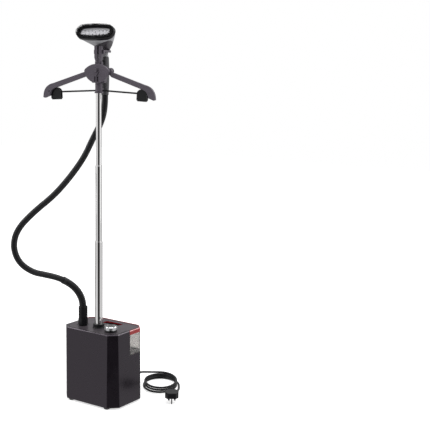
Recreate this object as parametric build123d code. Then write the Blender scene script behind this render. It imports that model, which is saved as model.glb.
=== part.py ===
from build123d import *
import math
import os

# Upright garment steamer: an octagonal base with a lift-off water tank, a telescopic pole,
# a clothes hanger with folding arms and trouser clips, and a steam head on a hose.
# Millimetres. The origin is the centre of the base's footprint, on the floor. -Y is the front.

# ---- driving dimensions ----
FOOT_HEIGHT = 6.0
BODY_HEIGHT = 273.0
BODY_WIDTH = 250.0
BODY_DEPTH = 183.0
FLARE_WIDTH = 1.03          # the body is a little wider at the bottom
FLARE_DEPTH = 1.01
CORNER_TOP = 28.0           # leg of each corner chamfer at the top
CORNER_FRONT_BOTTOM = 33.0
CORNER_REAR_BOTTOM = 30.0
EDGE_ROUND = 3.0
TOP_BEVEL = 2.2             # bevel round the top edge of the body
RIM_WIDTH = 4.0             # width of the red rim round the tank's lid
WALL = 3.0

DECK = FOOT_HEIGHT + BODY_HEIGHT
PARTING_Y = 2.2             # the tank takes all of the body behind this plane
TANK_RIM_Z = 188.0          # the housing's rear wall ends here
SHELF_Z = 182.0
BAND_BOTTOM_Z = 263.4
PART_GAP = 0.4
RIM_HEIGHT = 1.8            # the tank's red rim stands this far above its lid

PORT = (-67.0, -34.0)
POLE = (3.0, -27.0)
KNOB = (74.0, -44.0)
KNOB_R = 23.4
KNOB_SKIRT_TOP = 8.4        # above the deck: the black skirt, then the chrome ring
KNOB_TOP = 21.0
SLOT = (0.0, 54.0)
VALVE = (55.0, 45.0)
SLOT_SIZE = (80.0, 32.0)

LOWER_TUBE_D = 28.0
MIDDLE_TUBE_D = 24.0
UPPER_TUBE_D = 20.0
TUBE_WALL = 1.0
LOWER_TUBE_TOP = 602.0
MIDDLE_TUBE_TOP = 877.0
NECK_BOTTOM = 1132.0
SLIDE_CLEARANCE = 0.05

HANGER_YAW = 16.5           # the hanger is turned on the pole
HEAD_YAW = -10.5            # the steam head is turned in its cradle
HUB_TOP = 1234.0
HUB_BOTTOM = 1168.0
ARM_PIVOT = (42.0, 1210.0)
ARM_HALF_DEPTH = 6.0
BAR_Y = 16.0
BAR_TOP_Z = 1141.6
BAR_DROOP = 3.0
BAR_R = 3.0
CLIP_X = {"left": -171.0, "right": 160.0}

GRIP_Y = 55.0               # axis of the steam head's handle, behind the pole
GRIP_BOTTOM = 1125.0
GRIP_TOP = 1259.0
FORK_Z = 1275.0
FORK_THICK = 8.0
FACE_TILT = 62.0
FACE_CENTRE = (-63.0, 1345.5)   # y from the grip's axis, and height, of the steam face
FACE_LENGTH = 156.0
FACE_DEPTH = 58.0
RING_DEPTH = 12.0
NOZZLE_LENGTH = 124.0
NOZZLE_DEPTH = 34.0

HOSE_D = 22.0
SLEEVE_LENGTH = 150.0
SLEEVE_R = 13.5
HOSE_START_Z = 337.0
CORD_D = 8.0

HOSE_ROUTE = [
    (-67, -34, 337), (-67, -34, 357), (-71.5, -40, 388), (-82.5, -55.5, 418.5), (-97.5, -81.5, 444.5),
    (-114.5, -117.5, 465.5), (-132.5, -161.5, 481), (-148.5, -212, 497), (-177, -250, 535),
    (-193, -261, 593), (-186, -245, 653), (-152, -195, 713), (-113, -136, 767), (-82, -84, 832),
    (-58, -36, 901), (-50.5, -21, 934.5),
]
HOSE_TOP_ROUTE = [
    (-50.5, -21, 934.5), (-43, -6, 968), (-22, 18, 1028), (-12.6, 25.7, 1081), (-12.6, 25.7, 1125),
]
COIL_CENTRE = (94.0, 231.5)
COIL_TURN = -50.5           # direction of the coil's long axis
COIL_LONG = 86.0
COIL_SHORT = 60.0
COIL_HALF_WIDTH = 10.0
COIL_HEIGHT = 22.0
LEAD_ROUTE = [
    (22, 121, 56), (22, 150, 56), (20, 184, 53), (17, 216, 46), (18, 246, 36), (25, 274, 26), (38, 290, 18),
]
TAIL_ROUTE = [
    (140, 270, 9), (155, 252, 7), (172, 229, 5.2), (187, 203, 9), (198.5, 176, 22), (209, 151.5, 33),
    (220.51, 135.12, 33),
]
CORDS = [(LEAD_ROUTE, CORD_D, "lead"), (TAIL_ROUTE, CORD_D, "tail")]
PLUG_CENTRE = (236.0, 113.0)
PLUG_YAW = 35.0             # the cord enters the plug along the tail's last run
PIN_LENGTH = 22.5

NODES = {}


def add(name, *solids):
    NODES[name] = solids[0] if len(solids) == 1 else Compound(children=list(solids))


# ---- shared shapes ----
def octagon(z, inset=0.0, edge_round=0.0):
    drop = (DECK - z) / BODY_HEIGHT
    half_w = BODY_WIDTH / 2 * (1 + (FLARE_WIDTH - 1) * drop) - inset
    half_d = BODY_DEPTH / 2 * (1 + (FLARE_DEPTH - 1) * drop) - inset
    shrink = inset * (2 - math.sqrt(2))
    front = CORNER_TOP + (CORNER_FRONT_BOTTOM - CORNER_TOP) * drop - shrink
    rear = CORNER_TOP + (CORNER_REAR_BOTTOM - CORNER_TOP) * drop - shrink
    outline = [
        (-half_w + front, -half_d), (half_w - front, -half_d),
        (half_w, -half_d + front), (half_w, half_d - rear),
        (half_w - rear, half_d), (-half_w + rear, half_d),
        (-half_w, half_d - rear), (-half_w, -half_d + front),
    ]
    face = make_face(Polyline(*outline, close=True))
    if edge_round > 0:
        face = fillet(face.vertices(), edge_round)
    return Pos(0, 0, z) * face


def body_block(z0, z1, inset=0.0, edge_round=0.0):
    return loft([octagon(z0, inset, edge_round), octagon(z1, inset, edge_round)], ruled=True)


def slab(x0, x1, y0, y1, z0, z1):
    centre = ((x0 + x1) / 2, (y0 + y1) / 2, (z0 + z1) / 2)
    return Pos(*centre) * Box(x1 - x0, y1 - y0, z1 - z0)


def rear_space(y0, z0=0.0, z1=400.0):
    return slab(-200, 200, y0, 200, z0, z1)


def disc(radius, z0, z1, at=(0.0, 0.0)):
    return Pos(at[0], at[1], (z0 + z1) / 2) * Cylinder(radius, z1 - z0)


def tube(outer, inner, z0, z1, at=(0.0, 0.0)):
    return disc(outer, z0, z1, at) - disc(inner, z0 - 1, z1 + 1, at)


def rounded_bar(width, depth, corner, z0, z1, at=(0.0, 0.0)):
    outline = Pos(at[0], at[1], z0) * RectangleRounded(width, depth, corner)
    return extrude(outline, z1 - z0)


def route_path(route, name, diameter):
    points = [Vector(*p) for p in route]
    radii = []
    for before, here, after in zip(points, points[1:], points[2:]):
        turn = math.radians((here - before).get_angle(after - here))
        run = min((here - before).length, (after - here).length)
        radii.append(0.45 * run / math.tan(turn / 2))
    path = FilletPolyline(*points, radius=radii)
    print(name, "length", round(path.length, 1), "radii / diameter", [round(r / diameter, 1) for r in radii])
    return path


def round_sweep(path, radius):
    start = Plane(origin=path @ 0, z_dir=path % 0)
    return sweep(start * Circle(radius), path=path)


def pipe(route, outer, inner, name):
    path = route_path(route, name, 2 * outer)
    return round_sweep(path, outer) - round_sweep(path, inner)


def cord_tube(route, diameter, name):
    path = route_path(route, name, diameter)
    solid = round_sweep(path, diameter / 2)
    ideal = math.pi * diameter ** 2 / 4 * path.length
    print(name, "volume ratio", round(solid.volume / ideal, 4))
    return solid


# ---- base housing ----
GROOVE_X = 114.6            # centre line of the shadow gap round the control panel
GROOVE_LEFT_X = -112.0
GROOVE_FRONT_Y = -84.3
GROOVE_WIDTH = 3.0
COVER_THICK = 3.0
LEDGE = 8.0


def panel_outline(offset, left_x, z):
    x = GROOVE_X + offset
    y = GROOVE_FRONT_Y - offset
    corner = 26.0 + 0.6 * offset
    outline = [
        (left_x, PARTING_Y), (left_x, y + corner - 2), (left_x + corner - 2, y),
        (x - corner, y), (x, y + corner - 3), (x, PARTING_Y),
    ]
    return Pos(0, 0, z) * make_face(Polyline(*outline, close=True))


def make_housing():
    shell = loft([
        octagon(FOOT_HEIGHT, 2.6, EDGE_ROUND), octagon(FOOT_HEIGHT + 2.6, 0, EDGE_ROUND),
        octagon(DECK - TOP_BEVEL, 0, EDGE_ROUND), octagon(DECK, TOP_BEVEL, EDGE_ROUND),
    ], ruled=True)
    shell -= body_block(FOOT_HEIGHT + 4, DECK - 2 * COVER_THICK, WALL)
    shell -= body_block(FOOT_HEIGHT - 1, FOOT_HEIGHT + 5, 26)
    shell -= rear_space(PARTING_Y, TANK_RIM_Z)
    divider = body_block(SHELF_Z - 12, DECK - 2 * COVER_THICK, WALL)
    divider &= slab(-200, 200, PARTING_Y - 2.8, PARTING_Y, 0, 400)
    ledge = body_block(SHELF_Z - 12, SHELF_Z - 6, WALL) - body_block(SHELF_Z - 13, SHELF_Z - 5, WALL + 5)
    ledge &= rear_space(PARTING_Y)
    shell = shell + divider + ledge
    top = DECK - COVER_THICK
    shell -= extrude(panel_outline(GROOVE_WIDTH / 2, GROOVE_LEFT_X - 0.1, top), COVER_THICK + 1)
    shell -= extrude(panel_outline(-LEDGE, GROOVE_LEFT_X + LEDGE, top - COVER_THICK - 1), COVER_THICK + 2)
    rim_gap = slab(-BODY_WIDTH / 2 + 3.4, -BODY_WIDTH / 2 + 4.6, -60, PARTING_Y + 1, DECK - 1.5, DECK + 1)
    shell -= rim_gap
    gland_hole = Pos(GLAND_X, 92, GLAND_Z) * Rot(90, 0, 0) * Cylinder(6.2, 20)
    shell -= gland_hole
    for x, y in SCREW_SPOTS:
        shell -= disc(4.4, 5, FOOT_HEIGHT + 2.2, (x, y))
        shell -= disc(2.1, 5, 11, (x, y))
    return shell


GLAND_X = 22.0
GLAND_Z = 56.0
FOOT_SPOTS = [(sx * 84, sy * 77) for sx in (-1, 1) for sy in (-1, 1)]
SCREW_SPOTS = [(-110, 0), (110, 0), (-40, -78), (40, -78), (-40, 78), (40, 78)]
PLATE_Z = FOOT_HEIGHT + 4


def make_base_plate():
    plate = body_block(PLATE_Z, PLATE_Z + 3, WALL + 0.3)
    for x, y in SCREW_SPOTS:
        plate -= disc(1.9, 0, 20, (x, y))
    return plate


def make_foot(x, y):
    foot = Pos(x, y, FOOT_HEIGHT / 2) * Cone(10.5, 12.5, FOOT_HEIGHT)
    return fillet(foot.faces().sort_by(Axis.Z)[0].edges(), 1.0)


def make_screw(x, y):
    head = disc(4.0, FOOT_HEIGHT + 0.4, FOOT_HEIGHT + 2.2, (x, y))
    slot = slab(x - 5, x + 5, y - 0.5, y + 0.5, FOOT_HEIGHT, FOOT_HEIGHT + 1.2)
    return head - slot + disc(1.9, FOOT_HEIGHT + 2.2, PLATE_Z + 3, (x, y))


def make_top_cover():
    z = DECK - COVER_THICK
    cover = extrude(panel_outline(-GROOVE_WIDTH / 2, GROOVE_LEFT_X, z), COVER_THICK)
    cover -= disc(23, DECK - 1, DECK + 1, PORT)
    cover -= disc(16.4, 0, 400, PORT)
    cover -= disc(18.2, 0, 400, POLE)
    cover -= disc(5.2, 0, 400, KNOB)
    cover += tube(25.6, 23, DECK, DECK + 0.8, KNOB)
    return cover


def make_port_collar():
    top = DECK + 11.5
    collar = disc(16.2, DECK - COVER_THICK, top, PORT) + disc(21, DECK - 6, DECK - COVER_THICK, PORT)
    collar = fillet(collar.faces().sort_by(Axis.Z)[-1].edges(), 1.2)
    return collar - disc(11.5, 0, 400, PORT)


def make_outlet():
    outlet = disc(11.5, DECK - 17, DECK + 13, PORT)
    outlet = chamfer(outlet.faces().sort_by(Axis.Z)[-1].edges(), 0.8)
    nut = Pos(PORT[0], PORT[1], DECK - 17) * extrude(RegularPolygon(14.5, 6), 10)
    return outlet + nut - disc(8.5, 0, 400, PORT)


SOCKET_FLOOR = 164.0
SOCKET_TOP = DECK + 15.5


def make_pole_socket():
    socket = disc(18, SOCKET_FLOOR, DECK, POLE)
    socket += Pos(POLE[0], POLE[1], DECK + 2) * Cone(22.5, 20.5, 4)
    rim = disc(20.5, DECK + 4, SOCKET_TOP, POLE)
    socket += fillet(rim.faces().sort_by(Axis.Z)[-1].edges(), 1.6)
    return socket - disc(LOWER_TUBE_D / 2, SOCKET_FLOOR + 4, 400, POLE)


def make_shelf():
    shelf = body_block(SHELF_Z - 6, SHELF_Z, WALL) & rear_space(PARTING_Y)
    recess = body_block(SHELF_Z - 4, SHELF_Z + 1, 20) & rear_space(PARTING_Y + 17)
    shelf -= recess
    shelf += disc(9, SHELF_Z - 16, SHELF_Z - 5, VALVE) - disc(4.1, 0, 400, VALVE)
    shelf -= disc(4.1, SHELF_Z - 20, SHELF_Z - 5.9, VALVE)
    shelf -= slab(VALVE[0] - 6, VALVE[0] - 3, VALVE[1] - 3, VALVE[1] + 3, SHELF_Z - 20, SHELF_Z + 1)
    shelf += disc(2, SHELF_Z - 6, SHELF_Z - 2.2, VALVE)
    return shelf


# ---- inside the base ----
BOILER = (-70.0, -18.0)


def make_boiler():
    tank = disc(42, 27, 112, BOILER)
    tank = fillet(tank.edges().group_by(Axis.Z)[-1], 12)
    tank += disc(47, 66, 72, BOILER) + disc(7, 110, 124, BOILER)
    for angle in (30, 150, 270):
        post = (BOILER[0] + 34 * math.cos(math.radians(angle)), BOILER[1] + 34 * math.sin(math.radians(angle)))
        tank += disc(4, PLATE_Z + 3, 30, post)
    return tank - disc(3.5, 100, 200, BOILER)


def make_pump():
    body = rounded_bar(34, 30, 4, PLATE_Z + 3, 52, (VALVE[0], 40))
    motor = Pos(VALVE[0] + 27, 40, 32) * Rot(0, 90, 0) * Cylinder(14, 22)
    inlet = tube(4.5, 2.5, 50, 60, VALVE)
    outlet = Pos(VALVE[0] - 20, 40, 26) * Rot(0, 90, 0) * (Cylinder(4, 10) - Cylinder(2, 12))
    feet = slab(VALVE[0] + 14, VALVE[0] + 38, 34, 46, PLATE_Z + 3, 20)
    return body + motor + inlet + outlet + feet


def make_water_pipes():
    x, y = VALVE
    inlet = tube(7, 4.6, 52, SHELF_Z - 16, VALVE)
    feed = pipe([(x - 25, 40, 26), (x - 58, 40, 26), (x - 82, 30, 32), (BOILER[0] + 27, 10, 40)], 3, 1.8, "feed")
    return inlet, feed - disc(42, 20, 80, BOILER)


def make_steam_pipe():
    x, y = BOILER
    return pipe([(x, y, 124), (x, y, 175), (PORT[0], PORT[1], 215), (PORT[0], PORT[1], DECK - 17)], 5, 3.4, "steam pipe")


def make_switch():
    body = rounded_bar(32, 32, 4, 246, DECK - COVER_THICK, KNOB)
    for dx in (-9, 0, 9):
        body += slab(KNOB[0] + dx - 2, KNOB[0] + dx + 2, KNOB[1] - 0.4, KNOB[1] + 0.4, 238, 246)
    return body - disc(3 + SLIDE_CLEARANCE, 258, 400, KNOB)


def make_board():
    board = slab(5, 95, -76, -26, 19, 20.6)
    for x in (10, 90):
        for y in (-71, -31):
            board += disc(3, PLATE_Z + 3, 19, (x, y))
    board += slab(15, 35, -70, -50, 20.6, 36) + slab(45, 62, -70, -40, 20.6, 40) + slab(70, 88, -66, -38, 20.6, 30)
    return board


# ---- control knob ----
KNOB_CORE_R = 19.6


def make_knob():
    # the serrated chrome ring, pressed over the knob's core
    low = DECK + KNOB_SKIRT_TOP
    high = DECK + KNOB_TOP
    ring = disc(KNOB_R, low, high, KNOB)
    ring = chamfer(ring.faces().sort_by(Axis.Z)[-1].edges(), 2.2)
    for index in range(60):
        angle = math.radians(6 * index)
        at = (KNOB[0] + (KNOB_R + 0.3) * math.cos(angle), KNOB[1] + (KNOB_R + 0.3) * math.sin(angle))
        ring -= disc(0.6, low + 1.2, high - 3.6, at)
    return ring - disc(KNOB_CORE_R, low - 1, high + 1, KNOB)


def make_knob_dial():
    # the knob's black body: skirt, core with the dial on it, and shaft
    skirt_top = DECK + KNOB_SKIRT_TOP
    dial = disc(KNOB_R - 0.8, DECK + 1.4, skirt_top - 1, KNOB) + disc(KNOB_R - 1.6, skirt_top - 1, skirt_top, KNOB)
    dial += disc(KNOB_CORE_R, skirt_top, DECK + KNOB_TOP - 1.4, KNOB)
    return dial + disc(3, 264, DECK + 1.4, KNOB)


# ---- water tank ----
TANK_FRONT = PARTING_Y + PART_GAP
TANK_WALL = 2.8


def make_tank_shell():
    upper = body_block(TANK_RIM_Z + PART_GAP, BAND_BOTTOM_Z, 0, EDGE_ROUND) & rear_space(TANK_FRONT)
    skirt_top = TANK_RIM_Z + PART_GAP
    skirt = body_block(SHELF_Z + PART_GAP, skirt_top, WALL + PART_GAP) & rear_space(TANK_FRONT)
    shell = upper + skirt
    shell -= body_block(skirt_top + 2, BAND_BOTTOM_Z + 1, TANK_WALL) & rear_space(TANK_FRONT + TANK_WALL)
    shell -= body_block(SHELF_Z + 3, skirt_top + 3, WALL + 3.4) & rear_space(TANK_FRONT + 3)
    shell -= disc(3, 100, 200, VALVE)
    bridge = slab(VALVE[0] - 13, VALVE[0] + 13, VALVE[1] - 3, VALVE[1] + 3, 200, 202)
    for x in (VALVE[0] - 12, VALVE[0] + 12):
        bridge += slab(x - 1, x + 1, VALVE[1] - 3, VALVE[1] + 3, SHELF_Z + 2.5, 201)
    return shell + bridge


def make_tank_band():
    band = loft([
        octagon(BAND_BOTTOM_Z, 0, EDGE_ROUND), octagon(DECK - TOP_BEVEL, 0, EDGE_ROUND),
        octagon(DECK, TOP_BEVEL, EDGE_ROUND),
    ], ruled=True) & rear_space(TANK_FRONT)
    band -= body_block(BAND_BOTTOM_Z - 1, DECK - 8, 2.5) & rear_space(TANK_FRONT + 2.5)
    band -= body_block(DECK - RIM_HEIGHT - COVER_THICK, DECK + 1, RIM_WIDTH)
    return band - rounded_bar(*SLOT_SIZE, 8, 200, 300, SLOT)


def make_tank_lid():
    top = DECK - RIM_HEIGHT
    lid = body_block(top - COVER_THICK, top, RIM_WIDTH) & rear_space(TANK_FRONT)
    hole = rounded_bar(SLOT_SIZE[0] + 1, SLOT_SIZE[1] + 1, 8.5, 200, 300, SLOT)
    lid -= hole
    lid -= loft([
        Pos(SLOT[0], SLOT[1], top - 1.6) * RectangleRounded(SLOT_SIZE[0] + 1, SLOT_SIZE[1] + 1, 8.5),
        Pos(SLOT[0], SLOT[1], top + 0.1) * RectangleRounded(SLOT_SIZE[0] + 4.4, SLOT_SIZE[1] + 4.4, 10.2),
    ])
    half = GROOVE_WIDTH / 2
    return lid - slab(GROOVE_X - half, GROOVE_X + half, 0, 57, top - 2, top + 1)


def make_slot_liner():
    top = DECK - 8
    w, d = SLOT_SIZE
    liner = rounded_bar(w + 8, d + 8, 10, top - 27, top, SLOT)
    liner -= rounded_bar(w - 2, d - 2, 7, top - 11, top + 1, SLOT)
    return liner - rounded_bar(w - 8, d - 8, 6, top - 25, top + 1, SLOT)


def make_tank_valve():
    stem = disc(2.6, SHELF_Z - 1.9, SHELF_Z + 3, VALVE)
    return stem + disc(8, SHELF_Z + 3, SHELF_Z + 5, VALVE) + disc(1.6, SHELF_Z + 5, SHELF_Z + 12, VALVE)


def make_valve_spring():
    spring = Pos(VALVE[0], VALVE[1], SHELF_Z + 5) * Helix(pitch=2.5, height=12.2, radius=3.6)
    start = Plane(origin=spring @ 0, z_dir=spring % 0)
    wire = sweep(start * Circle(0.35), path=spring, is_frenet=True)
    return wire & slab(VALVE[0] - 8, VALVE[0] + 8, VALVE[1] - 8, VALVE[1] + 8, SHELF_Z + 5, 200)


# ---- pole ----
SHOULDER = 4.0              # height over which a tube's end is rolled in towards the next tube


def stage_tube(outer, inner, bottom, top):
    # an outer tube of the pole, rolled in at its top round the tube that slides in it
    bore = inner / 2 + SLIDE_CLEARANCE
    wall = disc(outer / 2, bottom, top - SHOULDER, POLE)
    wall += Pos(POLE[0], POLE[1], top - SHOULDER / 2) * Cone(outer / 2, bore + 0.7, SHOULDER)
    return wall - disc(outer / 2 - TUBE_WALL, bottom - 1, top - SHOULDER, POLE) - disc(bore, bottom, top + 1, POLE)


def make_lower_tube():
    return stage_tube(LOWER_TUBE_D, MIDDLE_TUBE_D, SOCKET_FLOOR + 4, LOWER_TUBE_TOP)


def make_bush(outer, inner, top):
    inner_r = inner / 2 + SLIDE_CLEARANCE
    return tube(outer / 2 - TUBE_WALL, inner_r, top - SHOULDER - 20, top - SHOULDER, POLE)


def make_middle_tube():
    return stage_tube(MIDDLE_TUBE_D, UPPER_TUBE_D, 540, MIDDLE_TUBE_TOP)


def make_upper_tube():
    return tube(UPPER_TUBE_D / 2, UPPER_TUBE_D / 2 - TUBE_WALL, 815, 1180, POLE)


# ---- hanger, drawn facing -Y on the pole's axis, then turned with the hanger ----
HANGER = Pos(POLE[0], POLE[1], 0) * Rot(0, 0, HANGER_YAW)
HUB_FACE_Y = -21.0
HUB_SPLIT_Y = -7.0
HUB_BACK_Y = 13.0


def shield(half_width, bottom, shoulder, top):
    outline = [
        ThreePointArc((-half_width, shoulder), (0, top), (half_width, shoulder)),
        ThreePointArc((half_width, shoulder), (0, bottom), (-half_width, shoulder)),
    ]
    face = make_face(outline)
    return fillet(face.vertices(), 7)


def upright(face, y0, y1):
    # a face drawn in X and Z, made y1 - y0 thick along Y
    return Pos(0, y1, 0) * extrude(Rot(90, 0, 0) * face, y1 - y0)


def make_neck():
    neck = disc(12.5, NECK_BOTTOM, HUB_BOTTOM) + disc(15, NECK_BOTTOM, NECK_BOTTOM + 4)
    lug = slab(-9, 9, 8, 21, NECK_BOTTOM + 2, NECK_BOTTOM + 17)
    return neck + lug - make_clip_bar() - disc(UPPER_TUBE_D / 2, 1000, 1300)


def make_hub_front():
    hub = upright(shield(47, HUB_BOTTOM, 1212, HUB_TOP), HUB_FACE_Y, HUB_SPLIT_Y)
    hub = fillet(hub.faces().sort_by(Axis.Y)[0].edges(), 1.5)
    hub -= upright(shield(43, HUB_BOTTOM + 4, 1211, HUB_TOP - 4), HUB_FACE_Y + 4, HUB_SPLIT_Y + 1)
    for x in (-5.5, 5.5):
        hub -= slab(x - 2, x + 2, -30, 0, 1172.5, 1190)
    for side in (-1, 1):
        hub += upright(Pos(side * ARM_PIVOT[0], ARM_PIVOT[1]) * Circle(5), HUB_FACE_Y + 3, HUB_SPLIT_Y)
    return hub - disc(UPPER_TUBE_D / 2 + 2.5, 1000, 1300)


def make_hub_back():
    core = slab(-25, 25, HUB_SPLIT_Y, HUB_BACK_Y, HUB_BOTTOM, HUB_TOP - 8)
    core = fillet(core.edges().filter_by(Axis.Y), 6)
    plate = slab(-44, 44, HUB_BACK_Y - 5, HUB_BACK_Y, 1200, 1218)
    for side in (-1, 1):
        plate += upright(Pos(side * ARM_PIVOT[0], ARM_PIVOT[1]) * Circle(11), HUB_BACK_Y - 5, HUB_BACK_Y)
        plate -= upright(Pos(side * ARM_PIVOT[0], ARM_PIVOT[1]) * Circle(3), 0, 20)
    return core + plate - disc(UPPER_TUBE_D / 2, 1000, 1180.5)


def make_pivot(side):
    return upright(Pos(side * ARM_PIVOT[0], ARM_PIVOT[1]) * Circle(3), HUB_SPLIT_Y, HUB_BACK_Y)


def make_garment_peg():
    post = slab(-4.5, 4.5, HUB_FACE_Y - 11, HUB_FACE_Y, 1205, 1219)
    post = fillet(post.edges().filter_by(Axis.Y), 2)
    wedge = make_face(Polyline((-9, 1206), (9, 1206), (1.5, 1192), (-1.5, 1192), close=True))
    rib = slab(-1.5, 1.5, HUB_FACE_Y - 3, HUB_FACE_Y, 1171, 1193)
    return post + upright(wedge, HUB_FACE_Y - 5, HUB_FACE_Y) + rib


def make_arm(side):
    x0, z0 = ARM_PIVOT
    knuckle = Pos(x0, z0) * Circle(10)
    upper = Line((x0 + 7, z0 - 3), (176, 1163.5))
    crown = ThreePointArc((176, 1163.5), (203, 1148), (213, 1124))
    tip = Polyline((213, 1124), (214, 1113), (208, 1111), (188, 1119))
    under = ThreePointArc((188, 1119), (181, 1139), (164, 1148.5))
    inner = Polyline((164, 1148.5), (x0 + 8, z0 - 21), (x0 - 3, z0 - 9), (x0 + 7, z0 - 3))
    outline = make_face([upper, crown, tip, under, inner])
    outline += knuckle
    solid = upright(outline, -ARM_HALF_DEPTH, ARM_HALF_DEPTH)
    channel = make_face(Polyline((x0 + 18, 1200), (174, 1158), (162, 1152.5), (x0 + 18, 1190), close=True))
    solid -= upright(channel, 0, ARM_HALF_DEPTH + 1)
    solid -= upright(Pos(191, 1135) * Circle(2.5), -20, 20)
    solid -= upright(Pos(x0, z0) * Circle(3 + SLIDE_CLEARANCE), -20, 20)
    return solid if side > 0 else mirror(solid, Plane.YZ)


def bar_height(x):
    return BAR_TOP_Z - abs(x) * math.tan(math.radians(BAR_DROOP))


def make_clip_bar():
    bar = Pos(0, BAR_Y, BAR_TOP_Z) * Sphere(BAR_R)
    run = 190 / math.cos(math.radians(BAR_DROOP))
    for side in (-1, 1):
        half = Pos(0, BAR_Y, BAR_TOP_Z) * Rot(0, side * (90 + BAR_DROOP), 0)
        bar += half * Pos(0, 0, run / 2) * Cylinder(BAR_R, run)
    return bar


def clip_frame(side):
    x = CLIP_X[side]
    lean = BAR_DROOP if x > 0 else -BAR_DROOP
    return Pos(x, BAR_Y, bar_height(x)) * Rot(0, lean, 0)


def clip_outline(half_width, low, high):
    arch = high - 14
    sides = Polyline((half_width, arch), (half_width, low + 5), (half_width - 5, low))
    base = Line((half_width - 5, low), (-half_width + 5, low))
    other = Polyline((-half_width + 5, low), (-half_width, low + 5), (-half_width, arch))
    top = ThreePointArc((-half_width, arch), (0, high), (half_width, arch))
    return make_face([sides, base, other, top])


def knuckle_ring(x0, x1):
    ring = Cylinder(5.4, x1 - x0) - Cylinder(BAR_R + SLIDE_CLEARANCE, x1 - x0 + 2)
    return Pos((x0 + x1) / 2, 0, 0) * Rot(0, 90, 0) * ring


def make_clip_front(side):
    clip = upright(clip_outline(19, -27, 16), -9, -6)
    clip -= slab(-20, 20, -9.2, -8.4, -8.4, -7.6)
    clip += slab(-16, 16, -7, -0.7, -27, -24)
    for x0, x1 in ((-17, -9.2), (9.2, 17)):
        clip += knuckle_ring(x0, x1) + slab(x0, x1, -7, -4.6, -4, 4)
    return clip_frame(side) * clip


def make_clip_jaw(side):
    jaw = upright(clip_outline(18, -27, 16), 5.4, 8.4)
    jaw += slab(-16, 16, -0.3, 6, -27, -24)
    for x0, x1 in ((-8.8, -4.4), (4.4, 8.8)):
        jaw += knuckle_ring(x0, x1) + slab(x0, x1, 4.6, 6, -4, 4)
    return clip_frame(side) * jaw


def make_clip_spring(side):
    coil = Rot(0, 90, 0) * (Cylinder(4.6, 8) - Cylinder(3.4, 10))
    return clip_frame(side) * coil


def make_cradle():
    foot = slab(-13, 13, -6, 10, HUB_TOP - 8, HUB_TOP + 8)
    foot = fillet(foot.edges().filter_by(Axis.Z), 3)
    cradle = foot + slab(-19, 19, 1, 9, FORK_Z - 6, FORK_Z + FORK_THICK)
    for side in (-1, 1):
        post_x = (3.5, 14) if side < 0 else (3.5, 12.5)
        lean = make_face(Polyline(
            (side * 1, 1240), (side * 8, 1236), (side * post_x[1], 1256), (side * post_x[0], 1256), close=True))
        cradle += upright(lean, -7, 9)
        post = (Pos(side * (post_x[0] + post_x[1]) / 2, 1, 1276) * Box(post_x[1] - post_x[0], 16, 42))
        cradle += chamfer(post.edges().group_by(Axis.Z)[-1], 2)
        finger = (Pos(side * 15.2, 35.5, FORK_Z + FORK_THICK / 2) * Box(7.6, 59, FORK_THICK))
        cradle += fillet(finger.edges().filter_by(Axis.Z), 1.5)
    return cradle


# ---- steam head, drawn on the grip's axis facing -Y, then turned in the cradle ----
HEAD = HANGER * Pos(0, GRIP_Y, 0) * Rot(0, 0, HEAD_YAW)
FACE = Plane(
    origin=(0, FACE_CENTRE[0], FACE_CENTRE[1]), x_dir=(1, 0, 0),
    z_dir=(0, -math.sin(math.radians(FACE_TILT)), math.cos(math.radians(FACE_TILT))),
)


def oval_face(length, depth):
    # two long shallow arcs joined by two end arcs, all tangent
    flat = 3.0
    end_r = depth / 2 - flat
    reach = length / 2 - end_r
    back = (reach ** 2 - flat ** 2) / (2 * flat)
    turn = math.atan2(reach, back)
    x = reach + end_r * math.sin(turn)
    y = end_r * math.cos(turn)
    long_top = ThreePointArc((-x, y), (0, depth / 2), (x, y))
    right_end = ThreePointArc((x, y), (length / 2, 0), (x, -y))
    long_bottom = ThreePointArc((x, -y), (0, -depth / 2), (-x, -y))
    left_end = ThreePointArc((-x, -y), (-length / 2, 0), (-x, y))
    return make_face([long_top, right_end, long_bottom, left_end])


def oval(length, depth, height):
    # an oval parallel to the steam face, this far in front of it
    return FACE.offset(height) * oval_face(length, depth)


def oval_ring(outer, inner, low, high):
    ring = extrude(oval(*outer, low), high - low)
    return ring - extrude(oval(*inner, low - 1), high - low + 2)


# centre y, height, tilt, length and depth of the sections between the steam face and the cup
THROAT = (-3.0, 1297.0, 26.0, 58.0, 48.0)
SHELL_SECTIONS = [THROAT, (-14.0, 1312.0, 38.0, 86.0, 56.0), (-33.0, 1328.5, 52.0, 124.0, 58.0)]


def shell_section(section, wall=0.0, drop=0.0):
    y, z, tilt, length, depth = section
    centre = Pos(0, y, z) * Rot(tilt, 0, 0) * Pos(0, 0, -drop)
    return centre * oval_face(length - 2 * wall, depth - 2 * wall)


def make_head_shell():
    back = -RING_DEPTH
    outer = loft([shell_section(part) for part in SHELL_SECTIONS] + [oval(FACE_LENGTH - 3, FACE_DEPTH - 3, back)])
    wall = 3.0
    first = shell_section(THROAT, wall, 0.5)
    middle = [shell_section(part, wall) for part in SHELL_SECTIONS[1:]]
    last = oval(FACE_LENGTH - 3 - 2 * wall, FACE_DEPTH - 3 - 2 * wall, back + 0.1)
    return outer - loft([first] + middle + [last])


def make_brush_ring():
    ring = extrude(oval(FACE_LENGTH, FACE_DEPTH, -RING_DEPTH), RING_DEPTH)
    ring = fillet(ring.faces().sort_by(Axis(FACE.origin, FACE.z_dir))[-1].edges(), 2.5)
    return ring - extrude(oval(NOZZLE_LENGTH, NOZZLE_DEPTH, -RING_DEPTH - 1), RING_DEPTH + 2)


def make_bristles():
    return oval_ring((149, 51), (133, 39), 0, 11)


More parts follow.
